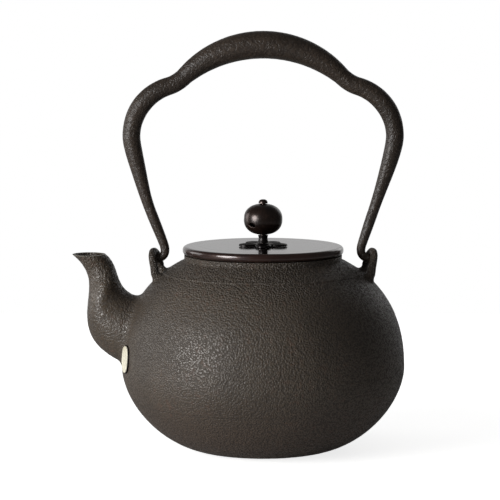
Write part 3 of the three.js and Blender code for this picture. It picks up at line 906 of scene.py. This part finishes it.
def dark_bronze(name, light, dark, roughness_level, coat):
    """Bronze under a dark patina, clouded and finely grained."""
    finish = Finish(name)
    clouds = finish.noise(0.004, 3)
    grain = finish.noise(0.0006, 2, 0.6)
    colour = finish.mixed(dark, light, finish.between(clouds, 0.35, 0.65))
    colour = finish.mixed(colour, shade(88, 68, 54), finish.between(grain, 0.66, 0.8) * 0.3)
    roughness = roughness_level + (clouds - 0.5) * 0.12 + (grain - 0.5) * 0.1
    values = {"Base Color": colour, "Roughness": roughness, "Metallic": 0.7, "Coat Weight": coat}
    values.update({"Coat Roughness": 0.28, "Specular Tint": shade(150, 140, 132)})
    return finish.finished(values, grain * 0.5 + clouds, 0.000015)


def petal_solid():
    """One petal lying on its flat side: a soft-edged blade with a hollowed middle and a notched tip."""
    turn = evenly(44)[:-1] * 2 * math.pi
    notch = 1 - notch_depth * np.exp(-((np.minimum(turn, 2 * math.pi - turn) / notch_width) ** 2))
    rings = []
    for share, rise in petal_rim + petal_dish:
        across = petal_reach - petal_length / 2 + petal_length / 2 * share * notch * np.cos(turn)
        beside = petal_width / 2 * share * notch * np.sin(turn)
        rings.append(np.column_stack([across, beside, np.full(len(turn), rise)]))
    return skinned(rings)


def flower_tree(finish):
    """Sets copies of the petal round the middle, the first at the turn, all lifted to their height."""
    growth = Growth("flower", Petals="Int", Height="Float", Turn="Float")
    count = growth.given["Petals"]
    values = {"Vertices": count, "Radius": 0.0}
    spots = growth.node("GeometryNodeMeshCircle", {"fill_type": "NONE"}, values)["Mesh"]
    order = growth.node("GeometryNodeInputIndex")["Index"]
    spin = growth.vector(Z=order * (2 * math.pi) / count + growth.given["Turn"])
    values = {"Points": spots, "Instance": growth.given["Geometry"], "Rotation": spin}
    petals = growth.node("GeometryNodeInstanceOnPoints", {}, values)["Instances"]
    lift = growth.vector(Z=growth.given["Height"])
    return growth.ended(growth.moved(petals, Offset=lift), finish)


black_bronze = dark_bronze("black_bronze", shade(34, 31, 31), shade(20, 18, 19), 0.3, 0.3)
flower = grown(
    "flower_seat",
    made_object("flower_seat", petal_solid()),
    flower_tree(black_bronze),
    {"Petals": petal_count, "Height": seat_foot / 1000, "Turn": -quarter},
)
boss_end = math.acos(pin_hole / boss_radius)
boss_profile = [
    (pin_hole, 0),
    (boss_radius, 0),
    *arc((0, boss_edge), boss_radius, petal_height - boss_edge, 0, boss_end, 10),
    (pin_hole, 0),
]
boss_points, boss_faces = revolved(boss_profile, 48)
boss = made_object("flower_boss", (boss_points + (0, 0, seat_foot), boss_faces))
boss.data.materials.append(black_bronze)
for piece in (flower, boss):
    rounded_shading(piece, corner=50)
    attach(piece, "lid")
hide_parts("knob_seat")


# Knob neck: a turned bronze collar with a waist, patinated like the flower. The pin runs through it and
# holds it between flower and ball, so that the ball stands clear of the lid.
neck_base = seat_foot + petal_height + seat_gap
collar_height = 4.4
# Each stop: share of the way up, and radius.
collar_stops = [(0, 3.3), (0.14, 3.1), (0.35, 2.75), (0.6, 2.6), (0.8, 2.75), (1, 3.0)]
collar_top = neck_base + collar_height
collar_side = [(eased(collar_stops, t), neck_base + collar_height * t) for t in evenly(36)]
collar_profile = [(pin_hole, neck_base), *collar_side, (pin_hole, collar_top), (pin_hole, neck_base)]
collar = made_object("knob_collar", revolved(collar_profile, 48))
rounded_shading(collar, corner=60)
collar.data.materials.append(black_bronze)
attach(collar, "knob")
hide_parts("knob_neck")


# Knob ball: a squat hollow bronze casting with slots as if worms had eaten through it, so that it stays
# cool to the fingers. The slots' lips are worn round.
ball_width, ball_height, ball_wall, ball_fullness = 22.7, 18.2, 1.5, 2.3
ball_base = collar_top + seat_gap
ball_middle = ball_base + ball_height / 2
# Each slot: degrees round from the front, rise above the middle, length, width, and degrees of tilt.
worm_slots = [(-38, -2.8, 4.4, 2.2, 12), (-92, 0.6, 3.6, 2.0, -35), (118, -1.5, 5.0, 2.2, 28)]
worn_spacing, worn_share, worn_passes = 0.34, 0.5, 6  # of the mesh that is smoothed to round the lips


def swollen(across, up, fullness, count):
    """A squarish half ellipse of [radius, rise] from its foot to its top, ending at the pin's hole."""
    end = math.acos((pin_hole / across) ** (fullness / 2))
    turn = np.linspace(-end, end, count + 1)
    rise = np.sign(np.sin(turn)) * np.abs(np.sin(turn)) ** (2 / fullness)
    return np.column_stack([across * np.cos(turn) ** (2 / fullness), up * rise])


ball_outside = swollen(ball_width / 2, ball_height / 2, ball_fullness, 48)
ball_inside = swollen(ball_width / 2 - ball_wall, ball_height / 2 - ball_wall, ball_fullness, 32)
ball_profile = [*(ball_outside + (0, ball_middle)), *(ball_inside[::-1] + (0, ball_middle))]
ball = made_object("knob_shell", revolved([*ball_profile, ball_profile[0]], 72))
for turn, rise, length, width, tilt in worm_slots:
    slot_points, slot_faces = revolved(arc((0, 0), 1, 1, -quarter, quarter, 12), 24)
    slot_points[np.abs(slot_points) < 1e-9] = 0
    slot_points = slot_points * (length / 2, 2 * ball_wall, width / 2)
    lean, round_turn = -math.radians(tilt), math.radians(turn)
    x, z = turned(slot_points[:, 0], slot_points[:, 2], lean)
    x, y = turned(x, slot_points[:, 1] - ball_width / 2 + ball_wall / 2, round_turn)
    slot = np.column_stack([x, y, z + ball_middle + rise])
    cut(ball, made_object("worm_slot", (slot, slot_faces)))
even_mesh = ball.modifiers.new("even_mesh", "REMESH")
even_mesh.mode, even_mesh.voxel_size = "VOXEL", worn_spacing / 1000
worn = ball.modifiers.new("worn", "SMOOTH")
worn.factor, worn.iterations = worn_share, worn_passes
settle(ball)
rounded_shading(ball, corner=180)
ball.data.materials.clear()
brown_bronze = dark_bronze("brown_bronze", shade(60, 44, 37), shade(40, 29, 25), 0.27, 0.9)
ball.data.materials.append(brown_bronze)
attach(ball, "knob")
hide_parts("knob_ball")


# Knob pin and washer: a bronze split pin whose domed head stands on the ball. It runs down through the
# stack and the lid, and its two ends are bent apart under a washer.
pin_radius, pin_head_radius, pin_head_height = 1.5, 2.7, 2.3
leg_radius, leg_reach, leg_drop, leg_overlap = 0.7, 6.5, 1.4, 0.4
leg_steps, point_start, point_taper = 24, 20, 0.45  # the last steps of a bent end are drawn thinner
washer_radius, washer_thickness, washer_chamfer, washer_edge = 5.5, 1.0, 0.3, 0.2
washer_top = plate_underside - seat_gap
washer_foot = washer_top - washer_thickness
head_foot = ball_base + ball_height + seat_gap
leg_height = washer_foot - leg_drop
head_fullness = 2.5  # of the superellipse that the head's side follows
head_turn = evenly(14) * quarter
head_side = zip(np.cos(head_turn) ** (2 / head_fullness), np.sin(head_turn) ** (2 / head_fullness))
pin_profile = [
    (0, leg_height + leg_radius),
    (pin_radius, leg_height + leg_radius),
    (pin_radius, head_foot),
    *[(pin_head_radius * out, head_foot + pin_head_height * up) for out, up in head_side],
]
pin_profile[-1] = (0, head_foot + pin_head_height)


def pin_leg(side):
    """One of the pin's two ends, bent out under the washer on side 1 (+X) or -1 (-X)."""
    start = pin_radius - leg_radius
    corner = (start, leg_height)
    bent = [(start, washer_foot + leg_overlap), corner, corner, (leg_reach, leg_height)]
    line, way = along_line([bezier(bent, t) for t in evenly(40)], leg_steps)
    turn = evenly(14)[:-1] * 2 * math.pi
    rings = []
    for k, ((x, z), (along_x, along_z)) in enumerate(zip(line, way)):
        thin = leg_radius * (1 - point_taper * float(smooth(k, point_start, leg_steps)))
        out = x - along_z * thin * np.cos(turn)
        height = z + along_x * thin * np.cos(turn)
        rings.append(np.column_stack([side * out, thin * np.sin(turn), height]))
    return skinned(rings)


pin = made_object("split_pin", joined([revolved(pin_profile, 32), pin_leg(1), pin_leg(-1)]))
washer_profile = [
    (pin_hole, washer_foot),
    (washer_radius - washer_chamfer, washer_foot),
    (washer_radius, washer_foot + washer_chamfer),
    (washer_radius, washer_top - washer_edge),
    (washer_radius - washer_edge, washer_top),
    (pin_hole, washer_top),
    (pin_hole, washer_foot),
]
washer = made_object("lid_washer", revolved(washer_profile, 48))
for piece, body, node in ((pin, "knob", "knob_pin"), (washer, "lid", "pin_washer")):
    rounded_shading(piece, corner=50)
    piece.data.materials.append(brown_bronze)
    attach(piece, body)
    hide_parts(node)


# Tag: a small blank oval plate of cream enamel on a dark backing, stuck on the belly beside the spout's
# root. It is flat, so it touches the belly at its middle and stands off it a little at its edge.
tag_azimuth, tag_height, tag_lean = math.radians(195.9), 56.2, math.radians(4)
tag_width, tag_tall, tag_fullness = 12.2, 15.4, 2.5
backing_margin = 0.5
# The rings run from the back's edge to the face's middle, as (share of the way out, rise off the belly).
tag_rings = [(1.0, 0.55), (1.0, 0.9), (0.97, 1.05), (0.92, 1.12)]
tag_rings += [(0.86, 1.1), (0.8, 1.04), (0.5, 1.06), (0.1, 1.06)]
backing_rings = [(0.96, -0.2), (1.0, 0.0), (1.0, 0.4), (0.97, 0.55), (0.9, 0.6), (0.5, 0.6), (0.1, 0.6)]


def plate_solid(flat_rings, margin):
    """A flat full oval on the belly, through its rings, wider than the tag by the margin."""
    turn = evenly(72)[:-1] * 2 * math.pi
    middle = np.interp(tag_height, neck_foot[:, 1], neck_foot[:, 0])
    across = np.sign(np.cos(turn)) * np.abs(np.cos(turn)) ** (2 / tag_fullness)
    upward = np.sign(np.sin(turn)) * np.abs(np.sin(turn)) ** (2 / tag_fullness)
    rings = []
    for share, rise in flat_rings:
        beside = (tag_width / 2 + margin) * share * across
        up = (tag_tall / 2 + margin) * share * upward
        out = middle + rise * math.cos(tag_lean) - up * math.sin(tag_lean)
        height = tag_height + up * math.cos(tag_lean) + rise * math.sin(tag_lean)
        rings.append(np.column_stack([*turned(out, beside, tag_azimuth), height]))
    return skinned(rings)


def cream_enamel():
    """Cream enamel, a little stained and specked."""
    finish = Finish("cream_enamel")
    specks = finish.noise(0.0006, 3, 0.65)
    stains = finish.between(finish.noise(0.005, 3), 0.45, 0.75)
    colour = finish.mixed(shade(222, 216, 196), shade(196, 188, 164), stains * 0.7)
    colour = finish.mixed(colour, shade(150, 142, 118), finish.between(specks, 0.6, 0.8) * 0.3)
    values = {"Base Color": colour, "Roughness": 0.5 + (specks - 0.5) * 0.2}
    return finish.finished(values, specks, 0.00005)


tag = made_object("blank_tag", plate_solid(tag_rings, 0))
tag.data.materials.append(cream_enamel())
# The dark backing's rim stands for a dark outline and partly for painted shade in the gap round the tag's
# edge.
backing = made_object("tag_backing", plate_solid(backing_rings, backing_margin))
backing.data.materials.append(black_bronze)
for piece in (tag, backing):
    rounded_shading(piece, corner=60)
    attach(piece, "kettle")


# Table: a pale matt board under the kettle. It fades to white away from the kettle, so that only the soft
# shadow at the kettle's foot is seen.
table_half, table_drop = 0.6, 0.00005  # in metres
shadow_reach, white_reach = 0.16, 0.42  # in metres from the kettle's middle


def pale_table():
    """A board that is white to the camera but dim in the kettle's reflections."""
    finish = Finish("pale_table")
    rays = finish.node("ShaderNodeLightPath")
    seen = rays["Is Camera Ray"] + rays["Is Glossy Ray"] * 0.05
    away = finish.node("ShaderNodeVectorMath", {"operation": "LENGTH"}, {0: finish.place})["Value"]
    whitened = 0.8 + finish.between(away, shadow_reach, white_reach) * 0.2
    grain = finish.noise(0.05, 3)
    colour = finish.mixed(shade(228, 228, 227), shade(236, 236, 235), grain)
    colour = finish.mixed(colour, shade(165, 165, 165), rays["Is Glossy Ray"])
    values = {"Base Color": colour, "Roughness": 0.7}
    values.update({"Emission Color": seen * whitened, "Emission Strength": 1.0})
    return finish.finished(values)


corners = np.array([(-1, -1, 0), (1, -1, 0), (1, 1, 0), (-1, 1, 0)]) * table_half - (0, 0, table_drop)
table = made_object("table", (corners * 1000, [[0, 1, 2, 3]]))
table.data.materials.append(pale_table())


# Light and camera: a broad soft window low on the left, a weaker one beside it and a faint light from
# behind, in a room that is white to the camera and dim to the kettle. The camera is the photograph's.
light_aim = Vector((0, 0, 0.06))  # the middle of the body; this section is in metres
world = bpy.data.worlds.new("studio")
bpy.context.scene.world = world
world.use_nodes = True
studio = Graph(world.node_tree)
rays = studio.node("ShaderNodeLightPath")
direct = rays["Is Camera Ray"] + rays["Is Transmission Ray"]
look = studio.node("ShaderNodeTexCoord")["Generated"]
look_parts = studio.parts(look)
overhead = studio.between(look_parts["Z"], 0.1, 0.7)
backdrop = studio.between(look_parts["Y"], 0.6, 0.9) * (1 - overhead * 0.7)
mirrored = 0.06 + backdrop * 0.49
ambient = 0.035 + overhead * 0.2
indirect = rays["Is Glossy Ray"] * mirrored + (1 - rays["Is Glossy Ray"]) * ambient
level = direct + (1 - direct) * indirect
sky = studio.node("ShaderNodeBackground", {}, {"Color": (1, 1, 1, 1), "Strength": level})
studio.node("ShaderNodeOutputWorld", {}, {"Surface": sky["Background"]})


def soft_light(name, azimuth, elevation, distance, size, power):
    """A panel aimed at the kettle. Azimuth 0 is the viewer's side, and below 0 is to the left of it."""
    round_turn, rise = math.radians(azimuth), math.radians(elevation)
    across, ahead = math.sin(round_turn) * math.cos(rise), -math.cos(round_turn) * math.cos(rise)
    way = Vector((across, ahead, math.sin(rise)))
    lamp = bpy.data.lights.new(name, "AREA")
    lamp.shape, lamp.size, lamp.size_y, lamp.energy = "ELLIPSE", size[0], size[1], power
    holder = bpy.data.objects.new(name, lamp)
    bpy.context.scene.collection.objects.link(holder)
    holder.location = way * distance + light_aim
    holder.rotation_euler = (-way).to_track_quat("-Z", "Y").to_euler()


soft_light("window", azimuth=-53, elevation=11, distance=1.45, size=(0.85, 0.75), power=20)
soft_light("side_window", azimuth=-112, elevation=10, distance=1.4, size=(0.8, 0.8), power=2.9)
soft_light("rear_fill", azimuth=150, elevation=22, distance=1.6, size=(0.9, 0.7), power=0.8)

camera = bpy.data.cameras.new("camera")
camera.sensor_width, camera.lens = 36.0, 196.18
camera.clip_start, camera.clip_end = 0.05, 20
viewer = bpy.data.objects.new("camera", camera)
bpy.context.scene.collection.objects.link(viewer)
viewer.location = (-0.00769, -1.5906, 0.2905)
viewer.rotation_euler = (math.radians(83.8), 0, 0)
bpy.context.scene.camera = viewer
bpy.context.scene.view_settings.view_transform = "Standard"
